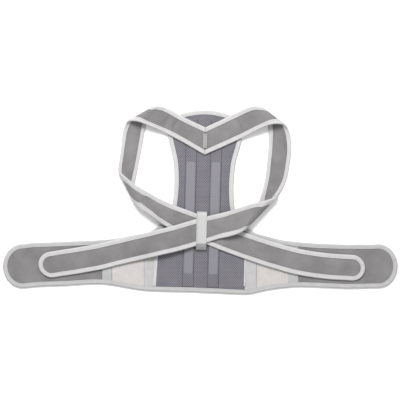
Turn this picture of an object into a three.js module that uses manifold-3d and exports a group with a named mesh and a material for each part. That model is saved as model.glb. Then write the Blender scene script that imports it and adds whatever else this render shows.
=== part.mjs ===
// A posture corrector laid flat with its outer face up: a mesh back panel with two stays, a waist
// belt with elastic sides and hook-and-loop wings, and two shoulder straps that start in a V,
// fold over twice and cross on the panel under an elastic keeper.
// Millimetres, +Z up from the surface that it lies on, +X along the belt, +Y towards the shoulders.
import * as THREE from 'three';
import { mergeVertices } from 'three/addons/utils/BufferGeometryUtils.js';
import Module from 'manifold-3d';

const wasm = await Module();
wasm.setup();

// Overall sizes
const BELT_LENGTH = 880;
const BELT_DEPTH = 98;
const WING_LENGTH = 221;
const WING_ROUND = 44;
const PANEL_HEIGHT = 395;
const PANEL_WIDTH = 199;
const PANEL_DROP = 49;
const PANEL_LEAN = THREE.MathUtils.degToRad(1.5);
const PANEL_SHIFT = 2;

// Cloth, tape and clearances
const PANEL_THICK = 3.2;
const STRAP_THICK = 2.4;
const TAPE_THICK = 1;
const TAPE_WIDTH = 10;
const FIT = 0.3;
const EDGE_CLEARANCE = 0.8;

// Belt sides
const OUTER_WEBBING = 22;
const INNER_WEBBING = 26;
const SEAM_TILT = 0.045;
const SEAM_NARROWING = 0.02;
const RIB_PITCH = 6;
const RIB_RISE = 0.5;
const ELASTIC_THICK = 2.4;
const RIB_FOOT = 0.05;
const RIB_CREST = 0.3;
const PIPING_LEFT = 7;
const PIPING_RIGHT = 3.5;
const PIPING_TOP = 1.45;
const PIPING_FOOT = 1.14;

// Stays and the mesh channels over them
const STAY_LENGTH = 250;
const STAY_WIDTH = 20;
const STAY_THICK = 1.5;
const STAY_CORNER = 4;
const STAY_FOOT = 31;
const STAY_SPACING = 55.5;
const STAY_SHIFT = -2.2;
const CHANNEL_WIDTH = 26;
const CHANNEL_LENGTH = 374;
const CHANNEL_FOOT = 0.006;
const CHANNEL_SLOPE = 0.6;
const POCKET_FLOOR = 0.9;

// Straps, their V and the keeper
const STRAP_WIDTH = 58;
const FOLD_RISE = 22;
const SEAM_STRIP_WIDTH = 9;
const SEAM_STRIP_LENGTH = 33;
const KEEPER_WIDTH = 23;
const KEEPER_LENGTH = 89;
const KEEPER_HEIGHT_ON_AXIS = 0.199;
const KEEPER_SHIFT = -2.6;
const KEEPER_TAPER = 6;

// Heights above the surface, from the layers below
const PANEL_TAPE_HEIGHT = PANEL_THICK + 2 * (FIT + TAPE_THICK);
const STRAP_HEIGHT = STRAP_THICK + 2 * (FIT + TAPE_THICK);
const PANEL_MIDDLE = PANEL_TAPE_HEIGHT / 2;
const PANEL_BOTTOM = PANEL_MIDDLE - PANEL_THICK / 2;
const PANEL_TOP = PANEL_MIDDLE + PANEL_THICK / 2;
const ON_TABLE = STRAP_HEIGHT / 2;
const ON_WING = PANEL_TOP + FIT + STRAP_HEIGHT / 2;
const ON_PANEL = PANEL_TAPE_HEIGHT + FIT + STRAP_HEIGHT / 2;
const ON_STRAP = ON_PANEL + STRAP_HEIGHT + FIT;

// Side of the panel: down as a share of its height, half as a share of half its width
const PANEL_SIDE = [
  { down: -0.005, half: 0 },
  { down: 0.002, half: 0.29 },
  { down: 0.019, half: 0.545 },
  { down: 0.047, half: 0.71 },
  { down: 0.087, half: 0.807 },
  { down: 0.141, half: 0.836 },
  { down: 0.191, half: 0.798 },
  { down: 0.236, half: 0.751 },
  { down: 0.287, half: 0.702 },
  { down: 0.338, half: 0.679 },
  { down: 0.405, half: 0.667 },
  { down: 0.479, half: 0.675 },
  { down: 0.546, half: 0.709 },
  { down: 0.586, half: 0.79 },
  { down: 0.625, half: 0.9 },
  { down: 0.645, half: 0.95 },
];

// Belt edges: along as a share of half the length, edge as a share of half the depth
const BELT_UPPER_LEFT = [
  { along: -0.255, edge: 1.57 },
  { along: -0.346, edge: 1.4 },
  { along: -0.417, edge: 1.27 },
  { along: -0.52, edge: 1.18 },
  { along: -0.66, edge: 1.12 },
  { along: -0.837, edge: 1.06 },
];
const BELT_UPPER_RIGHT = [
  { along: 0.84, edge: 0.98 },
  { along: 0.66, edge: 1 },
  { along: 0.53, edge: 1.07 },
  { along: 0.419, edge: 1.18 },
  { along: 0.328, edge: 1.38 },
  { along: 0.272, edge: 1.53 },
];
const BELT_LOWER = [
  { along: -0.8, edge: -0.93 },
  { along: -0.66, edge: -0.88 },
  { along: -0.558, edge: -0.82 },
  { along: -0.488, edge: -0.83 },
  { along: -0.417, edge: -0.92 },
  { along: -0.346, edge: -1.03 },
  { along: -0.255, edge: -1.13 },
  { along: 0, edge: -1.2 },
  { along: 0.186, edge: -1.28 },
  { along: 0.256, edge: -1.27 },
  { along: 0.328, edge: -1.12 },
  { along: 0.419, edge: -1 },
  { along: 0.53, edge: -0.95 },
  { along: 0.738, edge: -1.02 },
];

// Straps, row by row from the V to just before the round end. east is a share of half the belt
// length, north of the panel height, turn is the direction across the strap in degrees, span a
// share of the strap width, rise a share of the fold height above the layer that it lies on
const LEFT_STRAP = [
  { east: -0.077, north: 0.763, turn: 273, span: 1.04, on: ON_PANEL, rise: 0 },
  { east: -0.165, north: 0.815, turn: 266, span: 0.97, on: ON_PANEL, rise: 0.1 },
  { east: -0.229, north: 0.843, turn: 243, span: 0.86, on: ON_TABLE, rise: 0.85 },
  { east: -0.269, north: 0.855, turn: 222, span: 0.9, on: ON_TABLE, rise: 1 },
  { east: -0.304, north: 0.853, turn: 209, span: 1.02, on: ON_TABLE, rise: 0.6 },
  { east: -0.321, north: 0.821, turn: 203, span: 1.02, on: ON_TABLE, rise: 0.1 },
  { east: -0.335, north: 0.767, turn: 194, span: 0.92, on: ON_TABLE, rise: 0 },
  { east: -0.346, north: 0.691, turn: 181, span: 0.82, on: ON_TABLE, rise: 0 },
  { east: -0.359, north: 0.602, turn: 168, span: 0.77, on: ON_TABLE, rise: 0 },
  { east: -0.371, north: 0.53, turn: 143, span: 0.84, on: ON_TABLE, rise: 0 },
  { east: -0.378, north: 0.478, turn: 123, span: 1.06, on: ON_TABLE, rise: 0.2 },
  { east: -0.366, north: 0.438, turn: 116, span: 1.36, on: ON_TABLE, rise: 0.62 },
  { east: -0.319, north: 0.396, turn: 117, span: 1.4, on: ON_TABLE, rise: 1 },
  { east: -0.269, north: 0.356, turn: 116, span: 1.34, on: ON_TABLE, rise: 0.9 },
  { east: -0.21, north: 0.314, turn: 112, span: 1.3, on: ON_PANEL, rise: 0.2 },
  { east: -0.126, north: 0.266, turn: 104, span: 1.18, on: ON_PANEL, rise: 0 },
  { east: -0.035, north: 0.226, turn: 84, span: 1.02, on: ON_PANEL, rise: 0 },
  { east: 0.05, north: 0.189, turn: 70, span: 0.97, on: ON_PANEL, rise: 0 },
  { east: 0.154, north: 0.144, turn: 70, span: 0.97, on: ON_PANEL, rise: 0 },
  { east: 0.264, north: 0.1, turn: 73, span: 0.97, on: ON_PANEL, rise: 0 },
  { east: 0.387, north: 0.056, turn: 75, span: 0.98, on: ON_PANEL, rise: 0 },
  { east: 0.51, north: 0.021, turn: 81, span: 1, on: ON_PANEL, rise: 0 },
  { east: 0.639, north: 0, turn: 84, span: 1, on: ON_WING, rise: 0.02 },
  { east: 0.769, north: -0.01, turn: 87, span: 1, on: ON_WING, rise: 0 },
];
const RIGHT_STRAP = [
  { east: 0.109, north: 0.747, turn: 93, span: 1.05, on: ON_PANEL, rise: 0 },
  { east: 0.198, north: 0.793, turn: 104, span: 1, on: ON_PANEL, rise: 0.08 },
  { east: 0.263, north: 0.828, turn: 118, span: 0.95, on: ON_TABLE, rise: 0.8 },
  { east: 0.319, north: 0.849, turn: 132, span: 0.96, on: ON_TABLE, rise: 1 },
  { east: 0.372, north: 0.841, turn: 142, span: 1.06, on: ON_TABLE, rise: 0.6 },
  { east: 0.393, north: 0.799, turn: 146, span: 1.08, on: ON_TABLE, rise: 0.1 },
  { east: 0.402, north: 0.738, turn: 152, span: 1, on: ON_TABLE, rise: 0 },
  { east: 0.403, north: 0.666, turn: 163, span: 0.92, on: ON_TABLE, rise: 0 },
  { east: 0.396, north: 0.587, turn: 171, span: 0.88, on: ON_TABLE, rise: 0 },
  { east: 0.384, north: 0.498, turn: 180, span: 0.84, on: ON_TABLE, rise: 0 },
  { east: 0.358, north: 0.408, turn: 202, span: 0.92, on: ON_TABLE, rise: 0.06 },
  { east: 0.33, north: 0.342, turn: 220, span: 1.26, on: ON_TABLE, rise: 0.28 },
  { east: 0.309, north: 0.303, turn: 226, span: 1.62, on: ON_TABLE, rise: 0.66 },
  { east: 0.264, north: 0.278, turn: 230, span: 1.68, on: ON_TABLE, rise: 1.05 },
  { east: 0.201, north: 0.258, turn: 235, span: 1.55, on: ON_STRAP, rise: 0.35 },
  { east: 0.11, north: 0.229, turn: 250, span: 1.15, on: ON_STRAP, rise: 0 },
  { east: -0.003, north: 0.195, turn: 270, span: 1.04, on: ON_STRAP, rise: 0 },
  { east: -0.112, north: 0.16, turn: 279, span: 1, on: ON_STRAP, rise: 0.12 },
  { east: -0.213, north: 0.132, turn: 284, span: 0.98, on: ON_PANEL, rise: 0.44 },
  { east: -0.315, north: 0.105, turn: 286, span: 0.98, on: ON_PANEL, rise: 0.08 },
  { east: -0.422, north: 0.077, turn: 286, span: 0.98, on: ON_PANEL, rise: 0 },
  { east: -0.524, north: 0.05, turn: 284, span: 1, on: ON_PANEL, rise: 0 },
  { east: -0.638, north: 0.028, turn: 282, span: 1.01, on: ON_WING, rise: 0.02 },
  { east: -0.753, north: 0.008, turn: 281, span: 1.01, on: ON_WING, rise: 0 },
];
const VEE_DOWN = 67.5;
const VEE_SPAN = 1.07;

// The flats of a strap's crowned section: out to the flank, and the height of its rim
const STRAP_FLANK = 0.4;
const STRAP_RIM = 0.85;

// How finely curves are cut, and the reach of a cutting block
const PANEL_POINTS = 60;
const BELT_UPPER_POINTS = 18;
const BELT_LOWER_POINTS = 34;
const CORNER_POINTS = 3;
const FOLD_STEPS = 3;
const FLAT_STEPS = 1;
const FLAT_RISE = 0.03;
const FLAT_TURN = 5;
const NEAR = 0.002;
const END_STEPS = 10;
const TALL = 200;

const COLOURS = {
  strap: 0x959393,
  panel: 0x7d7a86,
  tape: 0xe3e1e1,
  elastic: 0xddd6d3,
  webbing: 0xd3d5d5,
  stay: 0xb8babd,
  keeper: 0xdfe1df,
};

const CLOTH_ROUGHNESS = 0.9;
const METAL_ROUGHNESS = 0.4;

function material(colour, metalness = 0) {
  const roughness = metalness ? METAL_ROUGHNESS : CLOTH_ROUGHNESS;
  return new THREE.MeshStandardMaterial({ color: colour, roughness, metalness });
}

// A closed mesh with only its positions, facing out
function closed(geometry) {
  geometry.deleteAttribute('normal');
  geometry.deleteAttribute('uv');
  const merged = mergeVertices(geometry, 1e-3);
  const index = merged.index.array;
  const [a, b, c] = [new THREE.Vector3(), new THREE.Vector3(), new THREE.Vector3()];
  let volume = 0;
  for (let i = 0; i < index.length; i += 3) {
    a.fromBufferAttribute(merged.attributes.position, index[i]);
    b.fromBufferAttribute(merged.attributes.position, index[i + 1]);
    c.fromBufferAttribute(merged.attributes.position, index[i + 2]);
    volume += a.dot(b.cross(c));
  }
  if (volume < 0) {
    for (let i = 0; i < index.length; i += 3) {
      [index[i], index[i + 1]] = [index[i + 1], index[i]];
    }
  }
  return merged;
}

function toSolid(geometry) {
  const mesh = closed(geometry);
  return new wasm.Manifold(new wasm.Mesh({
    numProp: 3,
    vertProperties: new Float32Array(mesh.attributes.position.array),
    triVerts: new Uint32Array(mesh.index.array),
  }));
}

function fromSolid(solid) {
  const { vertProperties, triVerts } = solid.getMesh();
  const geometry = new THREE.BufferGeometry();
  geometry.setAttribute('position', new THREE.BufferAttribute(vertProperties, 3));
  geometry.setIndex(new THREE.BufferAttribute(triVerts, 1));
  return geometry;
}

function piece(name, geometry, look) {
  const mesh = new THREE.Mesh(geometry, look);
  mesh.name = name;
  return mesh;
}

// A prism over a flat outline between two heights
function prism(points, bottom, top) {
  const geometry = new THREE.ExtrudeGeometry(new THREE.Shape(points), {
    depth: top - bottom,
    bevelEnabled: false,
  });
  return geometry.translate(0, 0, bottom);
}

// A section carried through stations: place() turns a section point and a station into a place
function swept(section, stations, place) {
  const last = stations.length - 1;
  const shape = new THREE.Shape(section.map(([x, y]) => new THREE.Vector2(x, y)));
  const settings = { depth: 1, steps: last, bevelEnabled: false };
  const geometry = new THREE.ExtrudeGeometry(shape, settings);
  const position = geometry.attributes.position;
  for (let i = 0; i < position.count; i += 1) {
    const station = stations[Math.round(position.getZ(i) * last)];
    const point = place(position.getX(i), position.getY(i), station);
    position.setXYZ(i, point.x, point.y, point.z);
  }
  return closed(geometry);
}

// The U of a folded tape: first number is the distance in from the edge, second the height
function tapeSection(clothThick) {
  const inner = clothThick / 2 + FIT;
  const outer = inner + TAPE_THICK;
  return [
    [0, -outer], [TAPE_WIDTH, -outer], [TAPE_WIDTH, -inner], [TAPE_THICK, -inner],
    [TAPE_THICK, inner], [TAPE_WIDTH, inner], [TAPE_WIDTH, outer], [0, outer],
  ];
}

// The outline of panel and belt
const panelFoot = new THREE.Vector2(PANEL_SHIFT, -PANEL_DROP);

function onPanel(across, up) {
  const middle = new THREE.Vector2();
  return new THREE.Vector2(across, up).rotateAround(middle, -PANEL_LEAN).add(panelFoot);
}

function beltPoint({ along, edge }) {
  return new THREE.Vector2(along * BELT_LENGTH / 2, edge * BELT_DEPTH / 2);
}

function sideOfPanel(side) {
  return PANEL_SIDE.map(({ down, half }) => (
    onPanel(side * half * PANEL_WIDTH / 2, (1 - down) * PANEL_HEIGHT)));
}

function smooth(points, count) {
  return new THREE.SplineCurve(points).getPoints(count);
}

function roundEnd(side) {
  const middle = side * (BELT_LENGTH / 2 - WING_ROUND);
  const start = side < 0 ? Math.PI / 2 : -Math.PI / 2;
  return new THREE.EllipseCurve(middle, 0, WING_ROUND, BELT_DEPTH / 2, start, start + Math.PI)
    .getPoints(END_STEPS);
}

function outline() {
  const right = sideOfPanel(1).reverse();
  const left = sideOfPanel(-1);
  const panel = smooth([...right, ...left.slice(1)], PANEL_POINTS);
  const leftEnd = roundEnd(-1);
  const rightEnd = roundEnd(1);
  const run = (first, rows, last, count) => smooth([first, ...rows.map(beltPoint), last], count);
  const upperLeft = run(left.at(-1), BELT_UPPER_LEFT, leftEnd[0], BELT_UPPER_POINTS);
  const lower = run(leftEnd.at(-1), BELT_LOWER, rightEnd[0], BELT_LOWER_POINTS);
  const upperRight = run(rightEnd.at(-1), BELT_UPPER_RIGHT, right[0], BELT_UPPER_POINTS);
  const belt = [...upperLeft, ...leftEnd.slice(1), ...lower.slice(1), ...rightEnd.slice(1),
    ...upperRight.slice(1)];
  return { loop: [...panel.slice(0, -1), ...belt.slice(0, -1)], corner: panel.length - 1 };
}

// How each point of a loop moves for one millimetre of inset
function miters(loop) {
  return loop.map((point, i) => {
    const before = point.clone().sub(loop.at(i - 1)).normalize();
    const after = loop[(i + 1) % loop.length].clone().sub(point).normalize();
    const sum = new THREE.Vector2(-before.y - after.y, before.x + after.x);
    return sum.divideScalar(1 + before.dot(after));
  });
}

const { loop, corner } = outline();
const inward = miters(loop);

function inset(distance) {
  return loop.map((point, i) => point.clone().addScaledVector(inward[i], distance));
}

// A folded tape along part of the loop, its ends a little short of the corners
function edgeTape(name, first, last) {
  const stations = [];
  for (let i = first; i <= last; i += 1) {
    stations.push({ at: loop[i % loop.length].clone(), in: inward[i % loop.length] });
  }
  const shorten = (end, next) => {
    end.at.addScaledVector(next.at.clone().sub(end.at).normalize(), FIT / 2);
  };
  shorten(stations[0], stations[1]);
  shorten(stations.at(-1), stations.at(-2));
  const geometry = swept(tapeSection(PANEL_THICK), stations, (distance, height, station) => {
    const flat = station.at.clone().addScaledVector(station.in, distance);
    return new THREE.Vector3(flat.x, flat.y, PANEL_MIDDLE + height);
  });
  return piece(name, geometry, material(COLOURS.tape));
}

// Cloth pieces are cut from one slab by seams across the belt
const CLOTH_EDGE = TAPE_THICK + FIT;
const PANEL_SEAM = PANEL_WIDTH / 2;
const WING_SEAM = BELT_LENGTH / 2 - WING_LENGTH;
const seamLean = (side) => SEAM_TILT - side * SEAM_NARROWING;

// Each piece of the belt beside the panel: its two seams as distances from the middle
const BELT_PIECES = [
  { name: 'wing', near: WING_SEAM, far: BELT_LENGTH, look: COLOURS.strap },
  { name: 'outer_webbing', near: WING_SEAM - OUTER_WEBBING, far: WING_SEAM, look: COLOURS.webbing },
  { name: 'inner_webbing', near: PANEL_SEAM, far: PANEL_SEAM + INNER_WEBBING, look: COLOURS.webbing },
];

// A tall block between two seam lines; a leaning seam follows the side of the panel
function between(from, to, reach, leanFrom = 0, leanTo = 0) {
  const low = -BELT_DEPTH;
  const line = (x, lean, y) => new THREE.Vector2(x + lean * y, y);
  return toSolid(prism([
    line(from + FIT / 2, leanFrom, low), line(to - FIT / 2, leanTo, low),
    line(to - FIT / 2, leanTo, reach), line(from + FIT / 2, leanFrom, reach),
  ], -TALL, TALL));
}

const slab = toSolid(prism(inset(CLOTH_EDGE), PANEL_BOTTOM, PANEL_TOP));

function beltPiece({ name, near, far, look }, side, label) {
  const lean = near === PANEL_SEAM ? seamLean(side) : 0;
  const block = side < 0
    ? between(-far, -near, BELT_DEPTH, 0, lean)
    : between(near, far, BELT_DEPTH, lean, 0);
  return piece(`${name}_${label}`, fromSolid(slab.intersect(block)), material(look));
}

// An elastic side: a ribbed strip cut to the belt's outline
function elastic(name, side) {
  const near = PANEL_SEAM + INNER_WEBBING;
  const far = WING_SEAM - OUTER_WEBBING;
  const width = far - near - FIT;
  const count = Math.max(2, Math.round(width / RIB_PITCH));
  const pitch = width / count;
  const bottom = PANEL_MIDDLE - ELASTIC_THICK / 2;
  const top = PANEL_MIDDLE + ELASTIC_THICK / 2;
  const profile = [new THREE.Vector2(0, bottom), new THREE.Vector2(width, bottom)];
  for (let rib = count - 1; rib >= 0; rib -= 1) {
    profile.push(new THREE.Vector2((rib + 1 - RIB_FOOT) * pitch, top));
    profile.push(new THREE.Vector2((rib + 1 - RIB_CREST) * pitch, top + RIB_RISE));
    profile.push(new THREE.Vector2((rib + RIB_CREST) * pitch, top + RIB_RISE));
    profile.push(new THREE.Vector2((rib + RIB_FOOT) * pitch, top));
  }
  const strip = prism(profile, -TALL, TALL).rotateX(Math.PI / 2);
  strip.translate(side < 0 ? -far + FIT / 2 : near + FIT / 2, 0, 0);
  const within = toSolid(prism(inset(CLOTH_EDGE), -TALL, TALL));
  return piece(name, fromSolid(toSolid(strip).intersect(within)), material(COLOURS.elastic));
}

// The panel and what lies in it, in the panel's own leaning frame
function rounded(width, length, foot, radius) {
  const [x, low, high] = [width / 2 - radius, foot + radius, foot + length - radius];
  const shape = new THREE.Shape();
  shape.absarc(-x, low, radius, Math.PI, 3 * Math.PI / 2);
  shape.absarc(x, low, radius, 3 * Math.PI / 2, 2 * Math.PI);
  shape.absarc(x, high, radius, 0, Math.PI / 2);
  shape.absarc(-x, high, radius, Math.PI / 2, Math.PI);
  const points = shape.getPoints(CORNER_POINTS);
  return points.filter((point, i) => i === 0 || point.distanceTo(points[i - 1]) > FIT);
}

const panelMatrix = new THREE.Matrix4().makeRotationZ(-PANEL_LEAN)
  .setPosition(panelFoot.x, panelFoot.y, 0);

function leaning(mesh) {
  mesh.applyMatrix4(panelMatrix);
  return mesh;
}

function stayMiddle(side) {
  return STAY_SHIFT + side * STAY_SPACING / 2;
}

function backPanel() {
  const block = between(-PANEL_SEAM, PANEL_SEAM, PANEL_HEIGHT, seamLean(-1), seamLean(1));
  let solid = slab.intersect(block);
  for (const side of [-1, 1]) {
    const [width, length] = [STAY_WIDTH + 2 * FIT, STAY_LENGTH + 2 * FIT];
    const pocket = rounded(width, length, STAY_FOOT - FIT, STAY_CORNER + FIT);
    const cut = prism(pocket, PANEL_BOTTOM + POCKET_FLOOR, TALL).translate(stayMiddle(side), 0, 0);
    solid = solid.subtract(toSolid(cut.applyMatrix4(panelMatrix)));
  }
  return piece('back_panel', fromSolid(solid), material(COLOURS.panel));
}

function stay(name, side) {
  const bottom = PANEL_BOTTOM + POCKET_FLOOR + FIT;
  const shape = rounded(STAY_WIDTH, STAY_LENGTH, STAY_FOOT, STAY_CORNER);
  const bar = prism(shape, bottom, bottom + STAY_THICK);
  const mesh = piece(name, closed(bar), material(COLOURS.stay, 1));
  mesh.position.x = stayMiddle(side);
  return leaning(mesh);
}

// A mesh strip sewn over a stay, its long edges sloped down to the seams
function channel(name, side) {
  const half = CHANNEL_WIDTH / 2;
  const slope = TAPE_THICK * CHANNEL_SLOPE;
  const profile = [
    [-half, 0], [half, 0], [half, slope / 2], [half - 2 * slope, TAPE_THICK],
    [-half + 2 * slope, TAPE_THICK], [-half, slope / 2],
  ].map(([x, y]) => new THREE.Vector2(x, y));
  const strip = prism(profile, 0, CHANNEL_LENGTH).rotateX(Math.PI / 2);
  const mesh = piece(name, closed(strip), material(COLOURS.panel));
  const foot = PANEL_HEIGHT * CHANNEL_FOOT;
  mesh.position.set(stayMiddle(side), foot + CHANNEL_LENGTH, PANEL_TOP + FIT);
  return leaning(mesh);
}

// A flat tape along the seam between the panel and the inner webbing
function piping(name, side, width) {
  const lean = seamLean(side);
  const top = PIPING_TOP * BELT_DEPTH / 2;
  const low = TAPE_WIDTH + FIT - PIPING_FOOT * BELT_DEPTH / 2;
  const half = width / 2;
  const line = (offset, y) => new THREE.Vector2(side * (PANEL_SEAM + offset) + lean * y, y);
  const corners = [line(-half, low), line(half, low), line(half, top), line(-half, top)];
  const bottom = PANEL_TOP + FIT;
  return piece(name, closed(prism(corners, bottom, bottom + TAPE_THICK)), material(COLOURS.tape));
}

// A value that runs through one number per row and never passes beyond them
function through(values, t) {
  const at = t * (values.length - 1);
  const i = Math.min(Math.floor(at), values.length - 2);
  const slope = (k) => {
    const before = values[k] - (values[k - 1] ?? values[k]);
    const after = (values[k + 1] ?? values[k]) - values[k];
    return before * after > 0 ? 2 * before * after / (before + after) : 0;
  };
  const f = at - i;
  const ease = f * f * (3 - 2 * f);
  return values[i] + (values[i + 1] - values[i]) * ease
    + f * (1 - f) * ((1 - f) * slope(i) - f * slope(i + 1));
}

// A strap: two edge curves through its rows, and the height of its middle
class Ribbon {
  constructor(start, rows) {
    const left = [start.left];
    const right = [start.right];
    this.heights = [ON_PANEL, ...rows.map(({ on, rise }) => on + rise * FOLD_RISE)];
    for (const { east, north, turn, span } of rows) {
      const middle = new THREE.Vector3(east * BELT_LENGTH / 2, north * PANEL_HEIGHT, 0);
      const angle = THREE.MathUtils.degToRad(turn);
      const half = new THREE.Vector3(Math.cos(angle), Math.sin(angle), 0)
        .multiplyScalar(span * STRAP_WIDTH / 2);
      left.push(middle.clone().add(half));
      right.push(middle.clone().sub(half));
    }
    this.left = new THREE.CatmullRomCurve3(left, false, 'catmullrom');
    this.right = new THREE.CatmullRomCurve3(right, false, 'catmullrom');
    this.places = [0];
    rows.forEach(({ turn, rise }, i) => {
      const before = rows[i - 1];
      const flat = before && Math.abs(turn - before.turn) < FLAT_TURN
        && Math.abs(rise - before.rise) < FLAT_RISE;
      const steps = flat ? FLAT_STEPS : FOLD_STEPS;
      for (let step = 1; step <= steps; step += 1) {
        this.places.push((i + step / steps) / rows.length);
      }
    });
  }

  middle(t) {
    const point = this.left.getPoint(t).add(this.right.getPoint(t)).multiplyScalar(0.5);
    return point.setZ(through(this.heights, t));
  }

  // The frame of the line across the strap at t, from 0 to 1
  frame(t) {
    const across = this.left.getPoint(t).sub(this.right.getPoint(t));
    const before = this.middle(Math.max(0, t - NEAR));
    const along = this.middle(Math.min(1, t + NEAR)).sub(before).normalize();
    const half = across.length() / 2;
    across.normalize();
    const normal = along.clone().cross(across);
    const slant = 1 / normal.length();
    normal.normalize();
    return { middle: this.middle(t), across, along, normal, half, slant };
  }

  frames() {
    return this.places.map((t) => this.frame(t));
  }
}

function place({ middle, across, normal }, offset, height) {
  return middle.clone().addScaledVector(across, offset).addScaledVector(normal, height);
}

// The padded cloth of a strap, ending inside the round of its tape
function strapCloth(name, ribbon) {
  const frames = ribbon.frames();
  const end = frames.at(-1);
  const edge = TAPE_THICK + EDGE_CLEARANCE;
  const stations = frames.map((frame) => ({ ...frame, reach: frame.half - edge * frame.slant }));
  const radius = end.half - edge;
  for (let i = 1; i < END_STEPS / 2; i += 1) {
    const angle = i * Math.PI / END_STEPS;
    const middle = end.middle.clone().addScaledVector(end.along, radius * Math.sin(angle));
    stations.push({ ...end, middle, reach: radius * Math.cos(angle) });
  }
  const [flank, rim] = [STRAP_FLANK, STRAP_RIM];
  const section = [
    [-1, -rim], [-flank, -1], [flank, -1], [1, -rim],
    [1, rim], [flank, 1], [-flank, 1], [-1, rim],
  ];
  const geometry = swept(section, stations, (x, y, station) => (
    place(station, x * station.reach, y * STRAP_THICK / 2)));
  return piece(name, geometry, material(COLOURS.strap));
}

// The tape along one edge of a strap, round its end and back along the other edge
function strapTape(name, ribbon) {
  const frames = ribbon.frames();
  const end = frames.at(-1);
  const stations = frames.map((frame) => ({ frame, side: 1 }));
  for (let i = 1; i < END_STEPS; i += 1) {
    stations.push({ frame: end, angle: Math.PI / 2 - i * Math.PI / END_STEPS });
  }
  stations.push(...frames.map((frame) => ({ frame, side: -1 })).reverse());
  const geometry = swept(tapeSection(STRAP_THICK), stations, (distance, height, station) => {
    const { frame, side, angle } = station;
    if (side) {
      return place(frame, side * (frame.half - distance * frame.slant), height);
    }
    const radius = frame.half - distance;
    const point = place(frame, radius * Math.sin(angle), height);
    return point.addScaledVector(frame.along, radius * Math.cos(angle));
  });
  return piece(name, geometry, material(COLOURS.tape));
}

// Both straps start on the seam of the V, on the panel's own axis
function veeStart(side) {
  const half = STRAP_WIDTH * VEE_SPAN / 2;
  const height = PANEL_HEIGHT - VEE_DOWN;
  const low = onPanel(side * FIT / 2, height - half);
  const high = onPanel(side * FIT / 2, height + half);
  const lower = new THREE.Vector3(low.x, low.y, 0);
  const upper = new THREE.Vector3(high.x, high.y, 0);
  return side < 0 ? { left: lower, right: upper } : { left: upper, right: lower };
}

function seamStrip() {
  const geometry = new THREE.BoxGeometry(SEAM_STRIP_WIDTH, SEAM_STRIP_LENGTH, TAPE_THICK);
  const mesh = piece('vee_seam_strip', closed(geometry), material(COLOURS.tape));
  const height = ON_PANEL + STRAP_THICK / 2 + FIT + TAPE_THICK / 2;
  mesh.position.set(0, PANEL_HEIGHT - VEE_DOWN, height);
  return leaning(mesh);
}

// The elastic loop round both straps where they cross
function keeper() {
  const half = KEEPER_LENGTH / 2;
  const low = PANEL_TOP + FIT;
  const high = ON_STRAP + STRAP_HEIGHT / 2 + FIT + TAPE_THICK;
  const ring = (inner) => {
    const bottom = low + inner;
    const top = high - inner;
    const foot = half - inner;
    const side = bottom + TAPE_THICK / 2;
    return [
      [-foot, bottom], [foot, bottom], [foot, side],
      [foot - KEEPER_TAPER, top], [-foot + KEEPER_TAPER, top], [-foot, side],
    ].map(([x, y]) => new THREE.Vector2(x, y));
  };
  const shape = new THREE.Shape(ring(0));
  shape.holes.push(new THREE.Path(ring(TAPE_THICK)));
  const geometry = new THREE.ExtrudeGeometry(shape, { depth: KEEPER_WIDTH, bevelEnabled: false });
  geometry.translate(0, 0, -KEEPER_WIDTH / 2).rotateX(Math.PI / 2).rotateZ(Math.PI / 2);
  const mesh = piece('strap_keeper', closed(geometry), material(COLOURS.keeper));
  mesh.position.set(KEEPER_SHIFT, PANEL_DROP + PANEL_HEIGHT * KEEPER_HEIGHT_ON_AXIS, 0);
  return leaning(mesh);
}

const part = new THREE.Group();
part.add(backPanel());
part.add(edgeTape('panel_binding', 0, corner), edgeTape('belt_binding', corner, loop.length));
for (const side of [-1, 1]) {
  const label = side < 0 ? 'left' : 'right';
  part.add(...BELT_PIECES.map((row) => beltPiece(row, side, label)));
  part.add(elastic(`elastic_${label}`, side));
  part.add(stay(`stay_${label}`, side), channel(`stay_channel_${label}`, side));
  part.add(piping(`side_piping_${label}`, side, side < 0 ? PIPING_LEFT : PIPING_RIGHT));
  const ribbon = new Ribbon(veeStart(side), side < 0 ? LEFT_STRAP : RIGHT_STRAP);
  part.add(strapCloth(`strap_${label}`, ribbon), strapTape(`strap_binding_${label}`, ribbon));
}
part.add(seamStrip(), keeper());

// Stand the part on the surface with the middle of its footprint at the origin
part.updateMatrixWorld(true);
const box = new THREE.Box3().setFromObject(part, true);
const middle = box.getCenter(new THREE.Vector3());
part.position.set(-middle.x, -middle.y, -box.min.z);

export default part;
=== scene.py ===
import math

import bmesh
import bpy
import numpy as np
from mathutils import Matrix, Vector
from mathutils.bvhtree import BVHTree


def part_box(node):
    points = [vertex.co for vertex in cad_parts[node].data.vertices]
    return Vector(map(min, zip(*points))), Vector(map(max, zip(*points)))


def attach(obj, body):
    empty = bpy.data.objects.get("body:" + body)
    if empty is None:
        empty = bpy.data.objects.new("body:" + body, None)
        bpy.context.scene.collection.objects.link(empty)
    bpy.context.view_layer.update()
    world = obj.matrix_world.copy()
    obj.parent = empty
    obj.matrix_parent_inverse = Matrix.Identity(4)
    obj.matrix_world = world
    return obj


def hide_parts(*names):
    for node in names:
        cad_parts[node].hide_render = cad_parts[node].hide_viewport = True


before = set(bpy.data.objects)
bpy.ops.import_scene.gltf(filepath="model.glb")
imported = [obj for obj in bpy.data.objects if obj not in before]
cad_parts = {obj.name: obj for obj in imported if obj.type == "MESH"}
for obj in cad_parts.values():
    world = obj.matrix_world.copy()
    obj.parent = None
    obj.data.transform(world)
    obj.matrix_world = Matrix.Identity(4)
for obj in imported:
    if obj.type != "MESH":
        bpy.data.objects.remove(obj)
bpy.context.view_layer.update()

# The view: straight down on the part, as wide as the photograph
PIXEL = 0.0022278
PIXELS_WIDE = 400
BELT_MIDDLE_PX = (200.3, 266)
LENS = 200
SENSOR = 36
VIEW_PLANE = 0.005
CLIP_END = 100

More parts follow.
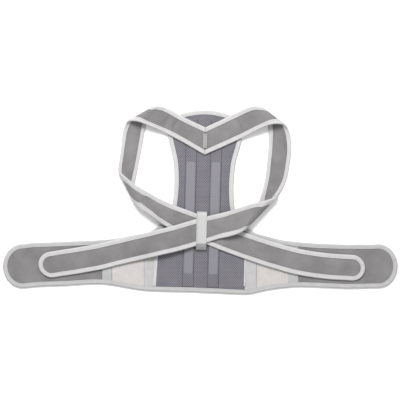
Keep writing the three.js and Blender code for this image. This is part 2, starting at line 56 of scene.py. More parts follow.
# Sizes in millimetres, as in the CAD source
MM = 0.001
BELT_LENGTH = 880
BELT_DEPTH = 98
WING_LENGTH = 221
WING_ROUND = 44
PANEL_HEIGHT = 395
PANEL_WIDTH = 199
PANEL_DROP = 49
PANEL_LEAN = math.radians(1.5)
PANEL_SHIFT = 2
PANEL_THICK = 3.2
STRAP_THICK = 2.4
TAPE_THICK = 1
TAPE_WIDTH = 10
FIT = 0.3
EDGE_CLEARANCE = 0.8
TABLE_CLEARANCE = 0.2
OUTER_WEBBING = 22
INNER_WEBBING = 26
SEAM_TILT = 0.045
SEAM_NARROWING = 0.02
RIB_PITCH = 6
RIB_RISE = 0.5
ELASTIC_THICK = 2.4
PIPING_LEFT = 7
PIPING_RIGHT = 3.5
PIPING_TOP = 1.45
PIPING_FOOT = 1.14
STAY_LENGTH = 250
STAY_WIDTH = 20
STAY_FOOT = 31
STAY_CORNER = 4
STAY_SPACING = 55.5
STAY_SHIFT = -2.2
CHANNEL_WIDTH = 26
CHANNEL_LENGTH = 374
CHANNEL_FOOT = PANEL_HEIGHT * 0.006
STRAP_WIDTH = 58
FOLD_RISE = 22
SEAM_STRIP_WIDTH = 9
SEAM_STRIP_LENGTH = 33
KEEPER_WIDTH = 23
KEEPER_LENGTH = 89
KEEPER_HEIGHT_ON_AXIS = 0.199
KEEPER_SHIFT = -2.6
KEEPER_TAPER = 6
KEEPER_BEND = 4
VEE_DOWN = 67.5
VEE_SPAN = 1.07

# Heights above the surface, from the layers below
PANEL_TAPE_HEIGHT = PANEL_THICK + 2 * (FIT + TAPE_THICK)
STRAP_HEIGHT = STRAP_THICK + 2 * (FIT + TAPE_THICK)
PANEL_MIDDLE = PANEL_TAPE_HEIGHT / 2
PANEL_TOP = PANEL_MIDDLE + PANEL_THICK / 2
ON_TABLE = STRAP_HEIGHT / 2
ON_WING = PANEL_TOP + FIT + STRAP_HEIGHT / 2
ON_PANEL = PANEL_TAPE_HEIGHT + FIT + STRAP_HEIGHT / 2
ON_STRAP = ON_PANEL + STRAP_HEIGHT + FIT
CLOTH_EDGE = TAPE_THICK + FIT
PANEL_SEAM = PANEL_WIDTH / 2

# How much the cloth stands out from its plain sheet, in millimetres
STRAP_CROWN = 1.05
PANEL_SWELL = 0.9
WEBBING_SIDE_DROP = 0.4
CHANNEL_LIFT = 0.35
CHANNEL_PUFF = 0.35
STAY_BULGE = 0.75
CHANNEL_SEAM_INSET = 1.4

# Mesh cells of the cloth pieces, across and along, in millimetres
PANEL_CELL = (2, 2)
WING_CELL = (2.2, 2.2)
WEBBING_CELL = (1.5, 2.5)
ELASTIC_CELL = (0.75, 2.5)

# Length of a face along a tape's edge, in millimetres, and points on each stretch of the outline
TAPE_STEP = 2.2
PANEL_POINTS = 300
UPPER_POINTS = 110
LOWER_POINTS = 220
END_POINTS = 40

# Vertices nearer than this, in metres, become one
MERGE = 0.00001

# Dents in the webbing: places in the photograph in its pixels, and their size in millimetres
DENTS_PX = [(149.5, 270.8), (250.5, 273.8)]
DENT_WIDTH, DENT_HEIGHT, DENT_DEPTH = 5, 4, 1.2

# Side of the panel: down its height and out over half its width, both as shares
PANEL_SIDE = [
    (-0.005, 0), (0.002, 0.29), (0.019, 0.545), (0.047, 0.71), (0.087, 0.807), (0.141, 0.836),
    (0.191, 0.798), (0.236, 0.751), (0.287, 0.702), (0.338, 0.679), (0.405, 0.667),
    (0.479, 0.675), (0.546, 0.709), (0.586, 0.79), (0.625, 0.9), (0.645, 0.95),
]

# Belt edges: along half the length and out over half the depth, both as shares
BELT_UPPER_LEFT = [
    (-0.255, 1.57), (-0.346, 1.4), (-0.417, 1.27), (-0.52, 1.18), (-0.66, 1.12), (-0.837, 1.06),
]
BELT_UPPER_RIGHT = [
    (0.84, 0.98), (0.66, 1), (0.53, 1.07), (0.419, 1.18), (0.328, 1.38), (0.272, 1.53),
]
BELT_LOWER = [
    (-0.8, -0.93), (-0.66, -0.88), (-0.558, -0.82), (-0.488, -0.83), (-0.417, -0.92),
    (-0.346, -1.03), (-0.255, -1.13), (0, -1.2), (0.186, -1.28), (0.256, -1.27),
    (0.328, -1.12), (0.419, -1), (0.53, -0.95), (0.738, -1.02),
]

# Straps row by row: east over half the belt, north over the panel's height, the turn of the
# line across in degrees, its span over the strap width, the layer, and the rise over a fold's
LEFT_STRAP = [
    (-0.077, 0.763, 273, 1.04, ON_PANEL, 0),
    (-0.165, 0.815, 266, 0.97, ON_PANEL, 0.1),
    (-0.229, 0.843, 243, 0.86, ON_TABLE, 0.85),
    (-0.269, 0.855, 222, 0.9, ON_TABLE, 1),
    (-0.304, 0.853, 209, 1.02, ON_TABLE, 0.6),
    (-0.321, 0.821, 203, 1.02, ON_TABLE, 0.1),
    (-0.335, 0.767, 194, 0.92, ON_TABLE, 0),
    (-0.346, 0.691, 181, 0.82, ON_TABLE, 0),
    (-0.359, 0.602, 168, 0.77, ON_TABLE, 0),
    (-0.371, 0.53, 143, 0.84, ON_TABLE, 0),
    (-0.378, 0.478, 123, 1.06, ON_TABLE, 0.2),
    (-0.366, 0.438, 116, 1.36, ON_TABLE, 0.62),
    (-0.319, 0.396, 117, 1.4, ON_TABLE, 1),
    (-0.269, 0.356, 116, 1.34, ON_TABLE, 0.9),
    (-0.21, 0.314, 112, 1.3, ON_PANEL, 0.2),
    (-0.126, 0.266, 104, 1.18, ON_PANEL, 0),
    (-0.035, 0.226, 84, 1.02, ON_PANEL, 0),
    (0.05, 0.189, 70, 0.97, ON_PANEL, 0),
    (0.154, 0.144, 70, 0.97, ON_PANEL, 0),
    (0.264, 0.1, 73, 0.97, ON_PANEL, 0),
    (0.387, 0.056, 75, 0.98, ON_PANEL, 0),
    (0.51, 0.021, 81, 1, ON_PANEL, 0),
    (0.639, 0, 84, 1, ON_WING, 0.02),
    (0.769, -0.01, 87, 1, ON_WING, 0),
]
RIGHT_STRAP = [
    (0.109, 0.747, 93, 1.05, ON_PANEL, 0),
    (0.198, 0.793, 104, 1, ON_PANEL, 0.08),
    (0.263, 0.828, 118, 0.95, ON_TABLE, 0.8),
    (0.319, 0.849, 132, 0.96, ON_TABLE, 1),
    (0.372, 0.841, 142, 1.06, ON_TABLE, 0.6),
    (0.393, 0.799, 146, 1.08, ON_TABLE, 0.1),
    (0.402, 0.738, 152, 1, ON_TABLE, 0),
    (0.403, 0.666, 163, 0.92, ON_TABLE, 0),
    (0.396, 0.587, 171, 0.88, ON_TABLE, 0),
    (0.384, 0.498, 180, 0.84, ON_TABLE, 0),
    (0.358, 0.408, 202, 0.92, ON_TABLE, 0.06),
    (0.33, 0.342, 220, 1.26, ON_TABLE, 0.28),
    (0.309, 0.303, 226, 1.62, ON_TABLE, 0.66),
    (0.264, 0.278, 230, 1.68, ON_TABLE, 1.05),
    (0.201, 0.258, 235, 1.55, ON_STRAP, 0.35),
    (0.11, 0.229, 250, 1.15, ON_STRAP, 0),
    (-0.003, 0.195, 270, 1.04, ON_STRAP, 0),
    (-0.112, 0.16, 279, 1, ON_STRAP, 0.12),
    (-0.213, 0.132, 284, 0.98, ON_PANEL, 0.44),
    (-0.315, 0.105, 286, 0.98, ON_PANEL, 0.08),
    (-0.422, 0.077, 286, 0.98, ON_PANEL, 0),
    (-0.524, 0.05, 284, 1, ON_PANEL, 0),
    (-0.638, 0.028, 282, 1.01, ON_WING, 0.02),
    (-0.753, 0.008, 281, 1.01, ON_WING, 0),
]

# View and light


def place_camera():
    data = bpy.data.cameras.new("camera")
    data.lens, data.sensor_width = LENS, SENSOR
    data.clip_end = CLIP_END
    camera = bpy.data.objects.new("camera", data)
    bpy.context.scene.collection.objects.link(camera)
    bpy.context.scene.camera = camera
    return camera


camera = place_camera()


def on_panel(across, up):
    """A place given in the leaning panel's own frame, in the CAD's design frame."""
    c, s = math.cos(-PANEL_LEAN), math.sin(-PANEL_LEAN)
    across, up = np.asarray(across, float), np.asarray(up, float)
    return np.stack(
        [across * c - up * s + PANEL_SHIFT, across * s + up * c - PANEL_DROP], axis=-1
    )


ACROSS_PANEL = on_panel(1, 0) - on_panel(0, 0)
UP_PANEL = on_panel(0, 1) - on_panel(0, 0)


keeper_low, keeper_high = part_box("strap_keeper")
keeper_foot = PANEL_DROP + PANEL_HEIGHT * KEEPER_HEIGHT_ON_AXIS
SHIFT = np.append(
    np.array((keeper_low + keeper_high)[:2]) / 2 / MM - on_panel(KEEPER_SHIFT, keeper_foot), 0
)


def photo_to_frame(x, y):
    """A pixel of the photograph as a place on the surface, in metres in the row frame."""
    return (x - BELT_MIDDLE_PX[0]) * PIXEL, (BELT_MIDDLE_PX[1] - y) * PIXEL + SHIFT[1] * MM


def photo_to_cad(pixel):
    """A pixel of the photograph as a place in the CAD's design frame, in millimetres."""
    x, y = photo_to_frame(*pixel)
    return x / MM - SHIFT[0], y / MM - SHIFT[1]


eye_x, eye_y = photo_to_frame(PIXELS_WIDE / 2, PIXELS_WIDE / 2)
camera.location = (eye_x, eye_y, VIEW_PLANE + PIXEL * PIXELS_WIDE * LENS / SENSOR)


# Lights: place and size in metres, power in watts
LIGHTS = [
    ("soft_overhead", (-0.3, 1.5, 2.1), 1.1, 86),
    ("fill_front", (0.6, -1.6, 1.8), 1.8, 12),
]
WORLD_STRENGTH = 0.58


def light(name, place, size, energy):
    data = bpy.data.lights.new(name, "AREA")
    data.shape, data.size, data.energy = "DISK", size, energy
    lamp = bpy.data.objects.new(name, data)
    lamp.location = place
    lamp.rotation_euler = (-Vector(place)).to_track_quat("-Z", "Y").to_euler()
    lamp.visible_camera = False
    bpy.context.scene.collection.objects.link(lamp)


for row in LIGHTS:
    light(*row)
world = bpy.data.worlds.new("studio")
bpy.context.scene.world = world
world.use_nodes = True
background = world.node_tree.nodes["Background"]
background.inputs["Color"].default_value = (1, 1, 1, 1)
background.inputs["Strength"].default_value = WORLD_STRENGTH
bpy.context.scene.view_settings.view_transform = "Standard"

# Materials


class Value:
    """A shader socket that takes part in Python arithmetic."""

    def __init__(self, finish, socket):
        self.finish, self.socket = finish, socket

    def _math(self, operation, *values):
        inputs = dict(enumerate(values))
        return self.finish.node("ShaderNodeMath", {"operation": operation}, inputs)

    def __add__(self, other):
        return self._math("ADD", self, other)

    def __radd__(self, other):
        return self._math("ADD", other, self)

    def __sub__(self, other):
        return self._math("SUBTRACT", self, other)

    def __rsub__(self, other):
        return self._math("SUBTRACT", other, self)

    def __mul__(self, other):
        return self._math("MULTIPLY", self, other)

    def __rmul__(self, other):
        return self._math("MULTIPLY", other, self)

    def __abs__(self):
        return self._math("ABSOLUTE", self)

    def root(self):
        return self._math("SQRT", self)

    def sine(self):
        return self._math("SINE", self)

    def larger(self, other):
        return self._math("MAXIMUM", self, other)

    def eased(self, low, high):
        """0 below low and 1 above high, with a smooth run between them."""
        return self.finish.node(
            "ShaderNodeMapRange",
            {"interpolation_type": "SMOOTHSTEP"},
            {"Value": self, "From Min": low, "From Max": high},
        )


# How much brighter a surface looks under the lights than its own colour
LIGHT_GAIN = 1.64


def linear(code, gain=LIGHT_GAIN):
    """A colour as it should look, rrggbb, as the surface's own colour in linear light."""
    parts = [int(code[i : i + 2], 16) / 255 for i in (0, 2, 4)]
    bare = [p / 12.92 if p <= 0.04045 else ((p + 0.055) / 1.055) ** 2.4 for p in parts]
    return [p / gain for p in bare] + [1]


class Finish:
    """A material, and the one place where its nodes are made."""

    def __init__(self, name):
        self.material = bpy.data.materials.new(name)
        self.material.use_nodes = True
        self.tree = self.material.node_tree
        self.tree.nodes.clear()

    def node(self, kind, settings=None, values=None, output=0):
        made = self.tree.nodes.new(kind)
        for name, value in (settings or {}).items():
            setattr(made, name, value)
        for name, value in (values or {}).items():
            if isinstance(value, Value):
                self.tree.links.new(value.socket, made.inputs[name])
            else:
                made.inputs[name].default_value = value
        return Value(self, made.outputs[output]) if len(made.outputs) else None

    def at(self):
        return self.node("ShaderNodeTexCoord", output="Object")

    def weave(self):
        """The piece's own across and along, in metres."""
        return self.node("ShaderNodeAttribute", {"attribute_name": "weave"}, output="Vector")

    def axes(self, vector):
        made = self.tree.nodes.new("ShaderNodeSeparateXYZ")
        self.tree.links.new(vector.socket, made.inputs[0])
        return [Value(self, out) for out in made.outputs]

    def noise(self, at, scale, detail):
        return self.node("ShaderNodeTexNoise", {}, {"Vector": at, "Scale": scale, "Detail": detail})

    def cells(self, at, scale):
        return self.node("ShaderNodeTexVoronoi", {}, {"Vector": at, "Scale": scale}, "Distance")

    def mix(self, share, first, second):
        return self.node(
            "ShaderNodeMix",
            {"data_type": "RGBA"},
            {"Factor": share, 6: first, 7: second},
            output=2,
        )

    def surface(self, colour, roughness, height=None, depth=0.0, metallic=0.0, sheen=0.0):
        values = {"Base Color": colour, "Roughness": roughness, "Metallic": metallic}
        if height is not None:
            values["Normal"] = self.node(
                "ShaderNodeBump", {}, {"Height": height, "Strength": 1.0, "Distance": depth}
            )
        if sheen:
            values["Sheen Weight"] = sheen
        shader = self.node("ShaderNodeBsdfPrincipled", {}, values)
        self.node("ShaderNodeOutputMaterial", {}, {"Surface": shader})
        return self.material


# Air mesh: the pitch of its holes in millimetres, their slant, and where its waves become a hole
MESH_PITCH = 5
MESH_SLOPE = 0.9
HOLE_RIM, HOLE_FLOOR = 0.22, 0.5

# Depths of the finishes' relief, in metres
PILE_DEPTH = 0.0004
MESH_DEPTH = 0.0006
TAPE_DEPTH = 0.0002
FINE_DEPTH = 0.00005


def waves(value, pitch):
    """A sine of that pitch in millimetres over a place in metres, from 0 to 1."""
    return (value * (2 * math.pi / (pitch * MM))).sine() * 0.5 + 0.5


def loop_cloth(name, dark, light):
    finish = Finish(name)
    at = finish.at()
    tuft = finish.cells(at, 800)
    fine = finish.noise(at, 1500, 2)
    cloud = finish.noise(at, 28, 3)
    grain = finish.noise(at, 420, 2)
    share = (fine - 0.5) * 0.5 + (grain - 0.5) * 0.6
    share = share + (cloud - 0.5) * 1.3 + (0.45 - tuft) * 0.3 + 0.5
    colour = finish.mix(share, linear(dark), linear(light))
    return finish.surface(colour, 0.92, tuft * 0.5 + fine + grain * 0.8, PILE_DEPTH, sheen=0.2)


def mesh_look(finish, dark, light, deep):
    """The cloth between and in the holes of an air mesh: its colour, height and holes."""
    at = finish.at()
    x, y, _ = finish.axes(at)
    one = waves(x + y * MESH_SLOPE, MESH_PITCH)
    other = waves(x - y * MESH_SLOPE, MESH_PITCH)
    hole = (one * other).eased(HOLE_RIM, HOLE_FLOOR)
    thread = finish.noise(at, 1600, 2)
    cloud = finish.noise(at, 35, 2)
    share = (cloud - 0.5) * 1.4 + (thread - 0.5) * 0.8 + 0.5
    base = finish.mix(share, linear(dark), linear(light))
    return finish.mix(hole * 0.8, base, linear(deep)), thread * 0.25 - hole


def air_mesh(name, dark, light, deep):
    finish = Finish(name)
    colour, height = mesh_look(finish, dark, light, deep)
    return finish.surface(colour, 0.9, height, MESH_DEPTH)


def channel_mesh(name, dark, light, deep, over_stay, seam):
    """Air mesh, lighter where stretched over a stay; dark seam lines, partly painted groove shade.
    """
    finish = Finish(name)
    colour, height = mesh_look(finish, dark, light, deep)
    across, up, _ = finish.axes(finish.weave())
    corner = STAY_CORNER * MM
    low, high = STAY_FOOT * MM + corner, (STAY_FOOT + STAY_LENGTH) * MM - corner
    over = (low - up).larger(up - high).larger(0)
    beside = (abs(across) - (STAY_WIDTH / 2 * MM - corner)).larger(0)
    far = (beside * beside + over * over).root()
    stay = 1 - far.eased(corner - 0.001, corner + 0.0006)
    side = CHANNEL_WIDTH / 2 * MM
    # Dark band by each seam: the seam's own dark line, partly painted shade of its groove
    edge = abs(across).eased(side - 0.0022, side - 0.0008)
    stretched = finish.mix(0.25, linear(over_stay), colour)
    colour = finish.mix(stay * 0.9, colour, stretched)
    colour = finish.mix(edge * 0.65, colour, linear(seam))
    return finish.surface(colour, 0.9, height * (1 - stay * 0.7), MESH_DEPTH)


def ribbed_tape(name, dark, light, pitch, along=True):
    """Woven tape, its ribs that far apart in millimetres along or across its length."""
    finish = Finish(name)
    weave = finish.weave()
    across_m, along_m, _ = finish.axes(weave)
    rib = waves(along_m if along else across_m, pitch)
    cross = waves(across_m if along else along_m, pitch * 0.8)
    grain = finish.noise(weave, 900, 3)
    cloud = finish.noise(weave, 60, 2)
    share = rib * 0.25 + cross * 0.12 + (grain - 0.5) * 0.8 + (cloud - 0.5) * 0.8 + 0.35
    colour = finish.mix(share, linear(dark), linear(light))
    return finish.surface(colour, 0.85, rib + cross * 0.5 + grain * 0.6, TAPE_DEPTH)


def thread_finish(name, dark, light):
    finish = Finish(name)
    at = finish.at()
    x, y, _ = finish.axes(at)
    twist = waves(x + y, 0.9)
    colour = finish.mix(twist * 0.5 + finish.noise(at, 500, 2) * 0.5, linear(dark), linear(light))
    return finish.surface(colour, 0.7, twist, FINE_DEPTH)


def stay_metal(name):
    finish = Finish(name)
    at = finish.at()
    x, y, _ = finish.axes(at)
    streaks = finish.node("ShaderNodeCombineXYZ", {}, {"X": x * 40, "Y": y})
    brushed = finish.noise(streaks, 60, 3)
    wear = finish.noise(at, 90, 3)
    colour = finish.mix(brushed * 0.6 + wear * 0.4, linear("9a9c9f"), linear("c6c8ca"))
    return finish.surface(colour, brushed * 0.2 + 0.32, brushed, FINE_DEPTH, metallic=1.0)


# The keeper's painted shade: the lower and upper row in the photograph of its darker stretch
KEEPER_PAINTED_SHADE_ROWS = (248.1, 243.6)


def keeper_elastic(name, dark, light, painted_shade_colour):
    """White elastic, with painted shade where its lower end turns down over the strap's edge."""
    finish = Finish(name)
    weave = finish.weave()
    across, _, _ = finish.axes(weave)
    _, y, _ = finish.axes(finish.at())
    rib = waves(across, 1.4)
    grain = finish.noise(weave, 900, 3)
    share = rib * 0.3 + (grain - 0.5) * 0.8 + 0.35
    colour = finish.mix(share, linear(dark), linear(light))
    # Painted shade: the elastic is darkened between these two rows
    low, high = (photo_to_frame(0, row)[1] for row in KEEPER_PAINTED_SHADE_ROWS)
    painted_shade = y.eased(low - 0.001, low + 0.001) * (1 - y.eased(high - 0.001, high + 0.002))
    colour = finish.mix(painted_shade * 0.8, colour, linear(painted_shade_colour))
    return finish.surface(colour, 0.8, rib + grain * 0.6, TAPE_DEPTH)


def white_floor():
    finish = Finish("pale_floor")
    grain = finish.noise(finish.at(), 3, 2)
    colour = finish.mix(grain, linear("f7f7f7", 1), linear("f9f9f9", 1))
    return finish.surface(colour, 0.9)


LOOP = loop_cloth("loop_cloth_grey", "7b7979", "9d9b9b")
MESH = air_mesh("air_mesh_purple_grey", "86848e", "96939b", "383641")
# The last colour, 605e69, is the seam band: partly its own dark line, partly painted groove shade
CHANNEL = channel_mesh("channel_mesh", "86848e", "96939b", "383641", "9a98a0", "605e69")
BINDING = ribbed_tape("binding_white", "d3d1d1", "efeeee", 1.1)
BELT_BINDING = ribbed_tape("binding_belt", "c3c2c2", "e0dfdf", 1.1)
SEAM_TAPE = ribbed_tape("seam_tape_grey", "a19f9f", "bebcbc", 1.1)
WEBBING = ribbed_tape("webbing_bone", "c0bebe", "dcdbdb", 1.6, along=False)
GREY_WEBBING = ribbed_tape("webbing_grey_green", "b6b8b7", "d2d4d3", 1.6, along=False)
ELASTIC = ribbed_tape("elastic_pinkish", "d2ccca", "eae5e3", 1.3, along=False)
# The keeper's last colour is its painted shade
KEEPER = keeper_elastic("elastic_white", "cacac9", "e3e4e3", "8f8f90")
THREAD = thread_finish("thread_white", "c4c2c2", "e6e4e4")
DARK_THREAD = thread_finish("thread_dark", "55535d", "6b6973")
# Grey thread of the anchor seams, made darker to paint the shade line where the strap drops off the
# panel's edge
ANCHOR_THREAD_AND_SHADE = thread_finish("thread_grey_and_painted_shade", "5a5858", "6c6a6a")
METAL = stay_metal("stay_aluminium")


# Shapes that several pieces share


def to_frame(points):
    """Places in the CAD's design frame, in millimetres, as metres in the row frame."""
    return (points + SHIFT) * MM


def grid(columns, rows):
    """A flat grid with its vertices from 0 to 1 both ways."""
    bm = bmesh.new()
    bmesh.ops.create_grid(bm, x_segments=columns, y_segments=rows, size=0.5)
    bmesh.ops.translate(bm, vec=(0.5, 0.5, 0), verts=bm.verts)
    return bm


def shares(bm):
    bm.verts.ensure_lookup_table()
    flat = np.array([v.co for v in bm.verts])
    return flat[:, 0], flat[:, 1]


def lay(bm, points, weave):
    """Moves the vertices to those places and notes where on the weave they lie, in metres."""
    layer = bm.verts.layers.float_vector.new("weave")
    for v, point, (across, along) in zip(bm.verts, to_frame(points), weave):
        v.co = point
        v[layer] = (across * MM, along * MM, 0)


def keep(bm, inside):
    bm.verts.ensure_lookup_table()
    outside = [v for v, kept in zip(bm.verts, inside) if not kept]
    bmesh.ops.delete(bm, geom=outside, context="VERTS")


def finished(name, bm, material, nodes=(), wall=0.0):
    """The mesh as a piece of the part, standing for those CAD nodes."""
    mesh = bpy.data.meshes.new(name)
    bm.to_mesh(mesh)
    bm.free()
    mesh.polygons.foreach_set("use_smooth", [True] * len(mesh.polygons))
    mesh.materials.append(material)
    made = bpy.data.objects.new(name, mesh)
    bpy.context.scene.collection.objects.link(made)
    if wall:
        solidify = made.modifiers.new("wall", "SOLIDIFY")
        solidify.thickness, solidify.offset = wall * MM, -1
    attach(made, "root")
    if nodes:
        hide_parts(*nodes)
    return made


def ease(x, low, high):
    f = np.clip((x - low) / (high - low), 0, 1)
    return f * f * (3 - 2 * f)


RIPPLE_WAVES = 5


def ripple(x, y, seed, size):
    """Gentle unevenness from -1 to 1 over about that many millimetres."""
    rng = np.random.default_rng(seed)
    total = np.zeros(np.broadcast(x, y).shape)
    for _ in range(RIPPLE_WAVES):
        turn, phase = rng.uniform(0, 2 * math.pi), rng.uniform(0, 2 * math.pi)
        stretch = rng.uniform(0.7, 1.6)
        wave = 2 * math.pi / (size * stretch)
        total = total + np.sin((x * math.cos(turn) + y * math.sin(turn)) * wave + phase)
    return total / RIPPLE_WAVES


class Path:
    """Stations of a swept section: a point, the way in from the edge, and the way up."""

    def __init__(self, point, inward, normal, closed=False):
        self.point, self.inward, self.normal = point, inward, normal
        self.closed = closed
        steps = np.linalg.norm(np.diff(point, axis=0), axis=1)
        self.along = np.concatenate([[0], np.cumsum(steps)])

    def at(self, length, distance, height):
        """Places at those lengths along, that far in and that high."""

        def pick(values):
            return np.stack([np.interp(length, self.along, axis) for axis in values.T], 1)

        return (
            pick(self.point)
            + pick(self.inward) * np.asarray(distance)[..., None]
            + pick(self.normal) * np.asarray(height)[..., None]
        )


def close(bm, ends=True):
    """Joins a grid that was rolled into a tube, and fills its ends if it has any."""
    bmesh.ops.remove_doubles(bm, verts=bm.verts, dist=MERGE)
    if ends:
        rims = [e for e in bm.edges if e.is_boundary]
        bmesh.ops.holes_fill(bm, edges=rims, sides=0)
    bmesh.ops.recalc_face_normals(bm, faces=bm.faces)


def sweep(section, path, step, wobble=None):
    """A closed section of (distance in, height) pairs carried along a path."""
    rows = max(2, round(path.along[-1] / step))
    bm = grid(len(section), rows)
    u, v = shares(bm)
    ring = np.array([*section, section[0]])
    at = np.rint(u * len(section)).astype(int)
    length = v * path.along[-1]
    distance, height = ring[at, 0].copy(), ring[at, 1].copy()
    if wobble:
        distance, height = wobble(distance, height, length)
    around = np.concatenate([[0], np.cumsum(np.linalg.norm(np.diff(ring, axis=0), axis=1))])
    lay(bm, path.at(length, distance, height), np.stack([around[at], length], 1))
    close(bm, ends=not path.closed)
    return bm


def arc(middle, radius, start, end, count):
    angles = np.linspace(start, end, count)
    return [
        (middle[0] + radius * math.cos(a), middle[1] + radius * math.sin(a)) for a in angles
    ]


# Stitches, in millimetres: how far the row lies from the edge, and the groove that it pulls
STITCH_ROW = 7.2
STITCH_PITCH = 4.4
STITCH_LONG = 3.1
STITCH_WIDE = 0.8
STITCH_HIGH = STITCH_WIDE * 0.84
GROOVE = 0.3
GROOVE_WIDTH = 1.1
TIGHT_PITCH = 3.6
ANCHOR_PITCH = 3.4

# The seams that hold the straps to the panel: how far in from its edge, how far along a strap they
# can lie, and the lowest place that they reach, in millimetres
ANCHOR_INSETS = {"left": 9, "right": 0}
ANCHOR_REACH = 190
ANCHOR_LOWEST = 120


def tape_section(cloth_thick):
    """A tape folded round an edge: its rounded bend, two arms and their tips."""
    inner = cloth_thick / 2 + FIT * 0.6
    outer = cloth_thick / 2 + FIT + TAPE_THICK
    tip = (outer - inner) / 2
    bend = arc((outer, 0), outer, math.radians(270), math.radians(90), 9)
    top = [(x, outer) for x in (4, 5.4, 6.4, STITCH_ROW, 8, 9)]
    top_tip = arc((TAPE_WIDTH - tip, inner + tip), tip, math.radians(75), math.radians(-90), 4)
    inside = arc((inner + 0.6, 0), inner, math.radians(90), math.radians(270), 5)
    low_tip = [(x, -y) for x, y in reversed(top_tip)]
    low = [(x, -outer) for x in (9, 8, STITCH_ROW, 6.4, 5.4, 4)]
    return bend + top + top_tip + inside + low_tip + low


def binding(name, path, cloth_thick, material, nodes, seed):
    """A bound edge: its tape with a stitched groove and slight puckers."""
    outer = cloth_thick / 2 + FIT + TAPE_THICK

    def wobble(distance, height, length):
        face = np.sign(height) * ease(np.abs(height), outer * 0.7, outer)
        groove = np.exp(-(((distance - STITCH_ROW) / GROOVE_WIDTH) ** 2)) * GROOVE
        pucker = np.sin(length * 2 * math.pi / (STITCH_PITCH * 2)) * 0.09
        soft = ripple(length, distance * 3, seed, size=40) * 0.12
        sway = ripple(length, 0 * length, seed + 1, size=55) * 0.25 + 0.25
        sink = groove + (0.1 + pucker + soft) * ease(distance, 1, 5)
        return distance + sway, height - face * sink

    bm = sweep(tape_section(cloth_thick), path, TAPE_STEP, wobble)
    return finished(name, bm, material, nodes)


def stitch_shape():
    """One stitch, a small rounded bar along X, as a mesh and its corner places."""
    bm = bmesh.new()
    bmesh.ops.create_uvsphere(bm, u_segments=6, v_segments=5, radius=0.5)
    size = (STITCH_LONG * MM, STITCH_WIDE * MM, STITCH_HIGH * MM)
    bmesh.ops.rotate(bm, verts=bm.verts, matrix=Matrix.Rotation(math.pi / 2, 3, "Y"))
    bmesh.ops.scale(bm, verts=bm.verts, vec=size)
    mesh = bpy.data.meshes.new("stitch")
    bm.to_mesh(mesh)
    bm.free()
    return mesh, np.array([v.co for v in mesh.vertices])


STITCH, STITCH_CORNERS = stitch_shape()


def stitch_row(bm, path, distance, height, pitch=STITCH_PITCH):
    """Stitches one after another along a path, at that place in its section."""
    lengths = np.arange(pitch / 2, path.along[-1] - pitch / 2, pitch)
    flat = 0 * lengths
    places = to_frame(path.at(lengths, distance + flat, height + flat))
    along = to_frame(path.at(lengths + 0.5, distance + flat, height + flat)) - places
    normal = path.at(lengths, flat, 1 + flat) - path.at(lengths, flat, flat)
    along /= np.linalg.norm(along, axis=1)[:, None]
    side = np.cross(normal, along)
    side /= np.linalg.norm(side, axis=1)[:, None]
    turns = np.stack([along, side, np.cross(along, side)], 1)
    corners = STITCH_CORNERS @ turns + places[:, None]
    for stitch in corners:
        STITCH.vertices.foreach_set("co", stitch.ravel())
        bm.from_mesh(STITCH)


# The outline of panel and belt


def spline(points, count):
    """Points evenly along a smooth curve through these, in any number of dimensions."""
    points = np.asarray(points, float)
    ends = np.concatenate([points[:1], points, points[-1:]])
    return along_curve(ends, np.linspace(0, 1, count + 1))


def along_curve(ends, t):
    last = len(ends) - 3
    at = np.clip(np.asarray(t) * last, 0, last)
    i = np.minimum(at.astype(int), last - 1)
    f = (at - i)[..., None]
    before, first, second, after = (ends[i + k] for k in range(4))
    start, finish = (second - before) / 2, (after - first) / 2
    return (
        first
        + start * f
        + (-3 * first + 3 * second - 2 * start - finish) * f**2
        + (2 * first - 2 * second + start + finish) * f**3
    )


def side_of_panel(side):
    rows = np.array(PANEL_SIDE)
    return on_panel(side * rows[:, 1] * PANEL_WIDTH / 2, (1 - rows[:, 0]) * PANEL_HEIGHT)


def belt_points(rows):
    return np.array(rows) * [BELT_LENGTH / 2, BELT_DEPTH / 2]


def round_end(side):
    middle = side * (BELT_LENGTH / 2 - WING_ROUND)
    start = math.pi / 2 if side < 0 else -math.pi / 2
    angle = np.linspace(start, start + math.pi, END_POINTS)
    return np.stack([middle + WING_ROUND * np.cos(angle), BELT_DEPTH / 2 * np.sin(angle)], 1)


def outline():
    """The closed edge of panel and belt, and where the belt's part of it starts."""
    right, left = side_of_panel(1)[::-1], side_of_panel(-1)
    panel = spline(np.concatenate([right, left[1:]]), PANEL_POINTS)
    left_end, right_end = round_end(-1), round_end(1)
    upper_left = spline([left[-1], *belt_points(BELT_UPPER_LEFT), left_end[0]], UPPER_POINTS)
    lower = spline([left_end[-1], *belt_points(BELT_LOWER), right_end[0]], LOWER_POINTS)
    upper_right = spline([right_end[-1], *belt_points(BELT_UPPER_RIGHT), right[0]], UPPER_POINTS)
    belt = [upper_left, left_end[1:], lower[1:], right_end[1:], upper_right[1:]]
    loop = np.concatenate([panel[:-1], np.concatenate(belt)[:-1]])
    return loop, len(panel) - 1


def miters(loop):
    def unit(v):
        return v / np.linalg.norm(v, axis=1)[:, None]

    before, after = unit(loop - np.roll(loop, 1, 0)), unit(np.roll(loop, -1, 0) - loop)
    total = np.stack([-before[:, 1] - after[:, 1], before[:, 0] + after[:, 0]], 1)
    return total / (1 + (before * after).sum(1))[:, None]


LOOP_LINE, CORNER = outline()
INWARD = miters(LOOP_LINE)


def edge_path(first, last):
    """The path of a bound edge along part of the outline, a little short of its corners."""
    pick = np.arange(first, last + 1) % len(LOOP_LINE)
    flat = LOOP_LINE[pick].copy()
    for end, after in ((0, 1), (-1, -2)):
        step = flat[after] - flat[end]
        flat[end] += step / np.linalg.norm(step) * FIT / 2
    height = np.full((len(flat), 1), PANEL_MIDDLE)
    up = np.tile([0.0, 0.0, 1.0], (len(flat), 1))
    inward = np.concatenate([INWARD[pick], 0 * height], 1)
    return Path(np.concatenate([flat, height], 1), inward, up)


